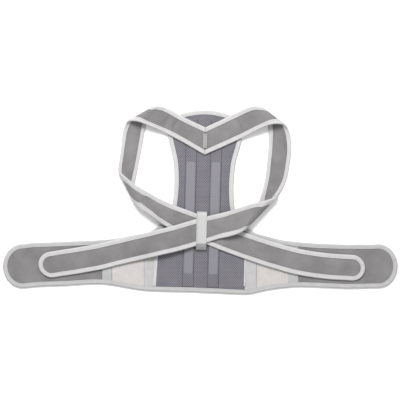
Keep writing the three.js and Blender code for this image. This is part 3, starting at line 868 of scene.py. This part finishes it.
def inside(x, y, edge):
    """Whether places lie inside the outline, that far from its edge."""
    line = LOOP_LINE + INWARD * edge
    after = np.roll(line, -1, 0)
    odd = np.zeros(len(x), bool)
    for (x0, y0), (x1, y1) in zip(line, after):
        if y0 != y1:
            crosses = (y0 > y) != (y1 > y)
            odd ^= crosses & (x < x0 + (y - y0) * (x1 - x0) / (y1 - y0))
    return odd


def from_edge(x, y):
    """How far places are from the outline."""
    far = np.full(len(x), 1e9)
    for x0, y0 in LOOP_LINE[::2]:
        far = np.minimum(far, np.hypot(x - x0, y - y0))
    return far


def seam_lean(side):
    return SEAM_TILT - side * SEAM_NARROWING


def cloth(name, seams, rows, cell, relief, top, wall, material, node):
    """A piece of the belt or panel between two seam lines, cut to the outline."""
    (left, left_lean), (right, right_lean) = seams
    low, high = rows
    bm = grid(round((right - left) / cell[0]), round((high - low) / cell[1]))
    u, v = shares(bm)
    y = low + v * (high - low)
    x = (left + FIT / 2 + left_lean * y) * (1 - u) + (right - FIT / 2 + right_lean * y) * u
    z = top + relief(x, y, u)
    lay(bm, np.stack([x, y, z], 1), np.stack([x, y], 1))
    keep(bm, inside(x, y, CLOTH_EDGE))
    return finished(name, bm, material, [node], wall)


def panel_axes(x, y):
    """Places in the panel's own leaning frame: across from its axis and up from its foot."""
    c, s = math.cos(PANEL_LEAN), math.sin(PANEL_LEAN)
    x, y = x - PANEL_SHIFT, y + PANEL_DROP
    return x * c - y * s, x * s + y * c


def panel_relief(x, y, _):
    across, _ = panel_axes(x, y)
    clear = ease(from_edge(x, y), TAPE_WIDTH, TAPE_WIDTH + 8)
    channel = np.abs(np.abs(across - STAY_SHIFT) - STAY_SPACING / 2)
    open_cloth = ease(channel, CHANNEL_WIDTH / 2 + 1, CHANNEL_WIDTH / 2 + 9)
    return clear * open_cloth * (PANEL_SWELL + ripple(x, y, seed=3, size=70) * 0.2)


def wing_relief(x, y, _):
    return ripple(x, y, seed=5, size=90) * 0.12


def webbing_relief(x, y, u):
    dents = sum(
        np.exp(-(((x - px) / DENT_WIDTH) ** 2) - ((y - py) / DENT_HEIGHT) ** 2)
        for px, py in map(photo_to_cad, DENTS_PX)
    )
    sides = ease(-u, -0.12, 0) + ease(u, 0.88, 1)
    rough = (ripple(x, y, seed=10, size=14) * 0.25 - DENT_DEPTH) * dents
    return ripple(x, y, seed=9, size=60) * 0.1 - WEBBING_SIDE_DROP * sides + rough


def elastic_relief(count):
    """The relief of an elastic side with that many ribs."""

    def relief(x, y, u):
        lean = ripple(x * 0.4, y, seed=12, size=60) * 0.06
        rib = np.sin((u + lean / 6) * count * 2 * math.pi) * 0.5 + 0.5
        crease = ripple(x, y * 1.5, seed=14, size=26) * 0.25
        return rib * (RIB_RISE + 0.05) + crease * rib - 0.2

    return relief


def belt_pieces():
    """Wing, outer band, inner band and elastic of each side, in that order."""
    half, wing_end = BELT_LENGTH / 2, BELT_LENGTH / 2 - WING_LENGTH
    far, near = wing_end - OUTER_WEBBING, PANEL_SEAM + INNER_WEBBING
    rows = (-BELT_DEPTH * 0.7, BELT_DEPTH * 0.9)
    made = []
    for side, label in ((-1, "left"), (1, "right")):
        def seams(a, b, lean_a=0.0, lean_b=0.0):
            return ((a, lean_a), (b, lean_b)) if side > 0 else ((-b, lean_b), (-a, lean_a))

        count = round((far - near) / RIB_PITCH)
        made += [
            cloth(f"wing_cloth_{label}", seams(wing_end, half), rows, WING_CELL, wing_relief,
                  PANEL_TOP, PANEL_THICK, LOOP, f"wing_{label}"),
            cloth(f"outer_band_{label}", seams(far, wing_end), rows, WEBBING_CELL, webbing_relief,
                  PANEL_TOP, PANEL_THICK, GREY_WEBBING, f"outer_webbing_{label}"),
            cloth(f"inner_band_{label}", seams(PANEL_SEAM, near, seam_lean(side)), rows,
                  WEBBING_CELL, webbing_relief, PANEL_TOP, PANEL_THICK, WEBBING,
                  f"inner_webbing_{label}"),
            cloth(f"elastic_side_{label}", seams(near, far), rows, ELASTIC_CELL,
                  elastic_relief(count), PANEL_MIDDLE + ELASTIC_THICK / 2, ELASTIC_THICK, ELASTIC,
                  f"elastic_{label}"),
        ]
    return made


def panel_piece():
    seams = ((-PANEL_SEAM, seam_lean(-1)), (PANEL_SEAM, seam_lean(1)))
    rows = (-BELT_DEPTH * 0.7, PANEL_HEIGHT - PANEL_DROP + 2)
    return cloth(
        "panel_cloth", seams, rows, PANEL_CELL, panel_relief, PANEL_TOP, PANEL_THICK, MESH,
        "back_panel")


def channel_piece(label, side):
    """The mesh strip sewn over a stay, raised where the stay lies in it."""
    bm = grid(22, 160)
    u, v = shares(bm)
    across = (u - 0.5) * CHANNEL_WIDTH
    up = CHANNEL_FOOT + v * CHANNEL_LENGTH
    low, high = STAY_FOOT + STAY_CORNER, STAY_FOOT + STAY_LENGTH - STAY_CORNER
    over = np.maximum(low - up, up - high).clip(0)
    beside = (np.abs(across) - STAY_WIDTH / 2 + STAY_CORNER).clip(0)
    rise = ease(STAY_CORNER - np.hypot(beside, over), -2.2, 0.8)
    puff = ease(CHANNEL_WIDTH / 2 - np.abs(across), 0.8, 5)
    x, y = on_panel(across + STAY_SHIFT + side * STAY_SPACING / 2, up).T
    puff = puff * (CHANNEL_PUFF + ripple(x, y, seed=21, size=40) * 0.1)
    z = PANEL_TOP + FIT + CHANNEL_LIFT + puff + STAY_BULGE * rise
    lay(bm, np.stack([x, y, z], 1), np.stack([across, up], 1))
    return finished(
        f"channel_{label}", bm, CHANNEL, [f"stay_channel_{label}"], TAPE_THICK * 0.5)


def flat_section(width, thick):
    """A tape lying flat, with rounded sides."""
    r = thick / 2
    near = arc((width / 2 - r, 0), r, math.radians(90), math.radians(-90), 5)
    xs = np.linspace(-width / 2 + r, width / 2 - r, 12)
    top = [(x, r) for x in xs[1:-1]]
    low = [(-x, -r) for x in xs[1:-1]]
    far = [(-x, -y) for x, y in near]
    return top + near + low + far


def straight_path(points, inward):
    """A path whose way in stays the same and whose way up is +Z."""
    points = np.array(points, float)
    inward, up = (np.tile(np.array(way, float), (len(points), 1)) for way in (inward, (0, 0, 1)))
    return Path(points, inward, up)


def piping_piece(label, side):
    lean = seam_lean(side)
    width = PIPING_LEFT if side < 0 else PIPING_RIGHT
    low = -BELT_DEPTH / 2 * PIPING_FOOT + TAPE_WIDTH + FIT
    high = BELT_DEPTH / 2 * PIPING_TOP
    ys = np.linspace(low, high, 60)
    z = PANEL_TOP + FIT + TAPE_THICK / 2
    line = [(side * PANEL_SEAM + lean * y, y, z + 0.1 * math.sin(y / 9)) for y in ys]
    bm = sweep(flat_section(width, TAPE_THICK * 1.1), straight_path(line, (1, 0, 0)), 3)
    return finished(f"piping_{label}", bm, BINDING, [f"side_piping_{label}"])


# The straps and what holds them


def through(values, t):
    """A value that runs through one number per row and never passes beyond them."""
    values = np.asarray(values, float)
    steps = np.diff(values)
    before, after = np.concatenate([[0], steps]), np.concatenate([steps, [0]])
    same = before * after > 0
    slope = np.where(same, 2 * before * after / np.where(same, before + after, 1), 0)
    at = np.clip(t, 0, 1) * (len(values) - 1)
    i = np.minimum(at.astype(int), len(values) - 2)
    f = at - i
    return (
        values[i]
        + (values[i + 1] - values[i]) * f * f * (3 - 2 * f)
        + f * (1 - f) * ((1 - f) * slope[i] - f * slope[i + 1])
    )


# Points that a strap's length is measured over, and the share of it that a direction is taken over
CURVE_POINTS = 1600
NEAR = 0.002


class Ribbon:
    """A strap: two edge curves through its rows, and the height of its middle."""

    def __init__(self, side, rows):
        half = STRAP_WIDTH * VEE_SPAN / 2
        low = on_panel(side * FIT / 2, PANEL_HEIGHT - VEE_DOWN - half)
        high = on_panel(side * FIT / 2, PANEL_HEIGHT - VEE_DOWN + half)
        left, right = ([low], [high]) if side < 0 else ([high], [low])
        self.heights = [ON_PANEL]
        for east, north, turn, span, layer, rise in rows:
            middle = np.array([east * BELT_LENGTH / 2, north * PANEL_HEIGHT])
            angle = math.radians(turn)
            reach = np.array([math.cos(angle), math.sin(angle)]) * span * STRAP_WIDTH / 2
            left.append(middle + reach)
            right.append(middle - reach)
            self.heights.append(layer + rise * FOLD_RISE)
        self.edges = [self.with_ends(np.array(points)) for points in (left, right)]
        t = np.linspace(0, 1, CURVE_POINTS)
        middles = self.middle(t)
        steps = np.linalg.norm(np.diff(middles, axis=0), axis=1)
        self.lengths, self.t = np.concatenate([[0], np.cumsum(steps)]), t
        self.length = self.lengths[-1]

    @staticmethod
    def with_ends(points):
        first, last = 2 * points[0] - points[1], 2 * points[-1] - points[-2]
        return np.concatenate([[first], points, [last]])

    def middle(self, t):
        flat = sum(along_curve(edge, np.clip(t, 0, 1)) for edge in self.edges) / 2
        return np.concatenate([flat, through(self.heights, t)[:, None]], 1)

    def frames(self, length):
        """Middle, across, along, normal, half width and slant at those lengths."""
        t = np.interp(length, self.lengths, self.t)
        left, right = (along_curve(edge, t) for edge in self.edges)
        across = np.concatenate([left - right, np.zeros((len(t), 1))], 1)
        along = self.middle(t + NEAR) - self.middle(t - NEAR)
        along /= np.linalg.norm(along, axis=1)[:, None]
        half = np.linalg.norm(across, axis=1) / 2
        across /= 2 * half[:, None]
        normal = np.cross(along, across)
        slant = 1 / np.linalg.norm(normal, axis=1)
        normal *= slant[:, None]
        return self.middle(t), across, along, normal, half, slant


# Creases in the straps: the place in the photo in pixels, the direction in degrees, then half the
# length, half the width and the depth in millimetres; a negative depth is a swell
CREASES = (
    (146.5, 199, 38, 16, 5, 3.0),
    (244.5, 242, 108, 16, 6, 2.4),
    (187, 131, 55, 22, 8, -2.8),
    (243.5, 130, 118, 20, 8, -1.4),
    (153.5, 243, 78, 14, 6, 1.6),
    (317, 262, 80, 14, 8, 1.8),
    (335.6, 264, 88, 18, 1.6, 0.9),
)


def creases(x, y):
    """How deep the creases are at those places."""
    depth = 0
    for px, py, turn, half_length, half_width, deep in CREASES:
        dx, dy = np.array([x, y]) - np.array(photo_to_cad((px, py)))[:, None]
        c, s = math.cos(math.radians(turn)), math.sin(math.radians(turn))
        along, across = dx * c + dy * s, dy * c - dx * s
        depth = depth + deep * np.exp(-((along / half_length) ** 2) - (across / half_width) ** 2)
    return depth


def anchor_dip(label, x, y, length):
    """The cloth dips along the seam that holds it to the edge of the panel."""
    away = from_edge(x, y) - ANCHOR_INSETS[label]
    dip = 1.6 * np.exp(-((away / 2.5) ** 2)) + 2 * np.exp(-((away / 8) ** 2))
    return np.where(length < ANCHOR_REACH, dip, 0)


# Mesh of a strap: faces around it, and the length of one in millimetres
STRAP_AROUND = 44
STRAP_STEP = 2.6


def strap_cloth(label, ribbon):
    """The padded cloth of a strap, crowned between its bindings, with a round end."""
    edge = TAPE_THICK + EDGE_CLEARANCE
    _, _, _, _, end_half, _ = ribbon.frames(np.array([ribbon.length]))
    radius = end_half[0] - edge
    total = ribbon.length + radius * 0.995
    bm = grid(STRAP_AROUND, round(total / STRAP_STEP))
    u, v = shares(bm)
    length = v * total
    beyond = (length - ribbon.length).clip(0)
    middle, across, along, normal, half, slant = ribbon.frames(length)
    reach = np.where(beyond > 0, np.sqrt((radius**2 - beyond**2).clip(0.01)), half - edge * slant)
    angle = u * 2 * math.pi
    out = np.cos(angle)
    away = reach * (1 - np.abs(out))
    away = np.where(beyond > 0, radius - np.hypot(beyond, reach * out), away)
    crown = ease(away, TAPE_WIDTH - 3.5, TAPE_WIDTH + 9)
    thick = STRAP_THICK / 2 * 0.95 * ease(away, -0.6, 0.8) + crown * STRAP_CROWN
    face = np.sign(np.sin(angle)) * (np.abs(np.sin(angle)) > 1e-6)
    soft = ripple(length, out * reach, seed=31, size=60) * 0.4 * crown
    flat = middle + across * (out * reach)[:, None]
    x, y = flat.T[:2]
    dip = (creases(x, y) + anchor_dip(label, x, y, length)) * crown
    height = face * thick + soft - dip
    points = flat + along * beyond[:, None] + normal * height[:, None]
    points[:, 2] = points[:, 2].clip(TABLE_CLEARANCE)
    lay(bm, points, np.stack([out * reach, length], 1))
    close(bm)
    made = finished(f"strap_cloth_{label}", bm, LOOP, [f"strap_{label}"])
    made["flat_length"] = (ribbon.length + end_half[0]) * MM
    return made


def strap_edge_path(ribbon):
    """Along one edge, round the end and back along the other."""
    lengths = np.linspace(0, ribbon.length, 420)
    middle, across, along, normal, half, slant = ribbon.frames(lengths)
    point = middle + across * half[:, None]
    narrow = np.clip(half / (STRAP_WIDTH / 2), 0.72, 1)
    inward = -across * (slant * narrow)[:, None]
    angle = np.linspace(math.pi / 2, -math.pi / 2, 60)[1:-1, None]
    out = np.sin(angle) * across[-1] + np.cos(angle) * along[-1]
    round_point = middle[-1] + out * half[-1]
    back_point = (middle - across * half[:, None])[::-1]
    return Path(
        np.concatenate([point, round_point, back_point]),
        np.concatenate([inward, -out, -inward[::-1]]),
        np.concatenate([normal, np.tile(normal[-1], (len(out), 1)), normal[::-1]]),
    )


def keeper_piece():
    """The elastic loop round both straps where they cross."""
    half = KEEPER_LENGTH / 2
    low = PANEL_TOP + FIT + TAPE_THICK / 2
    high = ON_STRAP + STRAP_HEIGHT / 2 + FIT + TAPE_THICK / 2
    foot, shoulder = half - 1, half - KEEPER_TAPER
    corners = np.array([(foot, low), (shoulder, high), (-shoulder, high), (-foot, low)])
    ring = []
    for i, corner in enumerate(corners):
        before, after = corners[i - 1] - corner, corners[(i + 1) % 4] - corner
        start = corner + before / np.linalg.norm(before) * KEEPER_BEND
        end = corner + after / np.linalg.norm(after) * KEEPER_BEND
        for f in np.linspace(0, 1, 6):
            ring.append((1 - f) ** 2 * start + 2 * f * (1 - f) * corner + f * f * end)
    ring = np.array([*ring, ring[0]])
    x, y = on_panel(0 * ring[:, 0] + KEEPER_SHIFT, keeper_foot + ring[:, 0]).T
    point = np.stack([x, y, ring[:, 1]], 1)
    turn = np.roll(ring[:-1], -1, 0) - np.roll(ring[:-1], 1, 0)
    turn = np.concatenate([turn, turn[:1]])
    turn /= np.linalg.norm(turn, axis=1)[:, None]
    normal = np.column_stack([turn[:, 1:] * UP_PANEL, -turn[:, 0]])
    inward = np.tile([*ACROSS_PANEL, 0], (len(ring), 1))
    path = Path(point, inward, normal, closed=True)

    def wobble(distance, height, length):
        pull = 0.4 * np.sin(length / path.along[-1] * 2 * math.pi * 9) + 0.6
        return distance * (1 - 0.02 * pull), height

    bm = sweep(flat_section(KEEPER_WIDTH, TAPE_THICK), path, 1.6, wobble)
    return finished("keeper_band", bm, KEEPER, ["strap_keeper"])


def seam_strip_piece():
    """The short tape over the seam of the V, sewn down along both sides."""
    half = SEAM_STRIP_LENGTH / 2
    ups = np.linspace(-half, half, 20) + PANEL_HEIGHT - VEE_DOWN
    x, y = on_panel(0 * ups, ups).T
    z = ON_PANEL + STRAP_THICK / 2 + STRAP_CROWN + FIT + TAPE_THICK / 2
    path = straight_path(np.stack([x, y, 0 * x + z], 1), (*ACROSS_PANEL, 0))
    bm = sweep(flat_section(SEAM_STRIP_WIDTH, TAPE_THICK), path, 1.5)
    threads = bmesh.new()
    for side in (-1, 1):
        stitch_row(threads, path, side * SEAM_STRIP_WIDTH * 0.32, TAPE_THICK / 2, pitch=TIGHT_PITCH)
    finished("vee_stitches", threads, THREAD)
    return finished("vee_strip", bm, SEAM_TAPE, ["vee_seam_strip"])


def anchor_path(label):
    """Where a strap is sewn down along the edge of the panel under it, on the strap's cloth."""
    surface = BVHTree.FromObject(
        bpy.data.objects[f"strap_cloth_{label}"], bpy.context.evaluated_depsgraph_get())
    side = -1 if label == "left" else 1
    line = LOOP_LINE[: CORNER + 1] + INWARD[: CORNER + 1] * ANCHOR_INSETS[label]
    points, normals = [], []
    for place in to_frame(np.concatenate([line, np.full((len(line), 1), 100.0)], 1)):
        if side * place[0] > 0:
            point, normal, _, _ = surface.ray_cast(Vector(place), Vector((0, 0, -1)))
            if point is not None and point.y / MM > ANCHOR_LOWEST:
                points.append(np.array(point) / MM - SHIFT)
                normals.append(normal)
    return Path(np.array(points), 0 * np.array(points), np.array(normals))


# The part, piece by piece

panel = panel_piece()
panel_edge = edge_path(0, CORNER)
belt_edge = edge_path(CORNER, len(LOOP_LINE))
binding("panel_edge_tape", panel_edge, PANEL_THICK, BINDING, ["panel_binding"], 41)
binding("belt_edge_tape", belt_edge, PANEL_THICK, BELT_BINDING, ["belt_binding"], 43)
for piece in (panel, *belt_pieces()):
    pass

threads = bmesh.new()
outer_height = PANEL_THICK / 2 + FIT + TAPE_THICK - GROOVE
for path in (panel_edge, belt_edge):
    for face in (1, -1):
        stitch_row(threads, path, STITCH_ROW, face * outer_height)
finished("edge_stitches", threads, THREAD)

channel_threads = bmesh.new()
for side, label in ((-1, "left"), (1, "right")):
    channel_piece(label, side)
    piping_piece(label, side)
    for seam in (-1, 1):
        ups = np.linspace(CHANNEL_FOOT, CHANNEL_FOOT + CHANNEL_LENGTH, 60)
        across = STAY_SHIFT + side * STAY_SPACING / 2
        across += seam * (CHANNEL_WIDTH / 2 - CHANNEL_SEAM_INSET)
        x, y = on_panel(0 * ups + across, ups).T
        line = straight_path(np.stack([x, y, 0 * x + PANEL_TOP + FIT + 0.5], 1), (1, 0, 0))
        stitch_row(channel_threads, line, 0.0, 0.1)
finished("channel_stitches", channel_threads, DARK_THREAD)

strap_threads = bmesh.new()
for side, label, rows in ((-1, "left", LEFT_STRAP), (1, "right", RIGHT_STRAP)):
    ribbon = Ribbon(side, rows)
    body = strap_cloth(label, ribbon)
    f"wing_cloth_{'right' if side < 0 else 'left'}"
    path = strap_edge_path(ribbon)
    nodes = [f"strap_binding_{label}"]
    binding(f"strap_tape_{label}", path, STRAP_THICK, BINDING, nodes, 51 + side)
    strap_height = STRAP_THICK / 2 + FIT + TAPE_THICK - GROOVE
    for face in (1, -1):
        stitch_row(strap_threads, path, STITCH_ROW, face * strap_height)
finished("strap_stitches", strap_threads, THREAD)

# The anchor seams: real stitches, darkened as a painted shade line along the panel's edge
arc_threads = bmesh.new()
for label in ("left", "right"):
    stitch_row(arc_threads, anchor_path(label), 0.0, 0.05, pitch=ANCHOR_PITCH)
finished("anchor_stitches", arc_threads, ANCHOR_THREAD_AND_SHADE)

keeper_piece()
seam_strip_piece()
for label in ("left", "right"):
    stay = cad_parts[f"stay_{label}"]
    stay.data.materials.clear()
    stay.data.materials.append(METAL)

# The floor: its side and how far it lies below the part, in metres
FLOOR_SIDE = 12
FLOOR_DROP = 0.0005

floor_mesh = bmesh.new()
bmesh.ops.create_grid(floor_mesh, x_segments=1, y_segments=1, size=FLOOR_SIDE / 2)
floor_data = bpy.data.meshes.new("floor")
floor_mesh.to_mesh(floor_data)
floor_mesh.free()
floor_data.materials.append(white_floor())
floor = bpy.data.objects.new("floor", floor_data)
floor.location.z = -FLOOR_DROP
bpy.context.scene.collection.objects.link(floor)
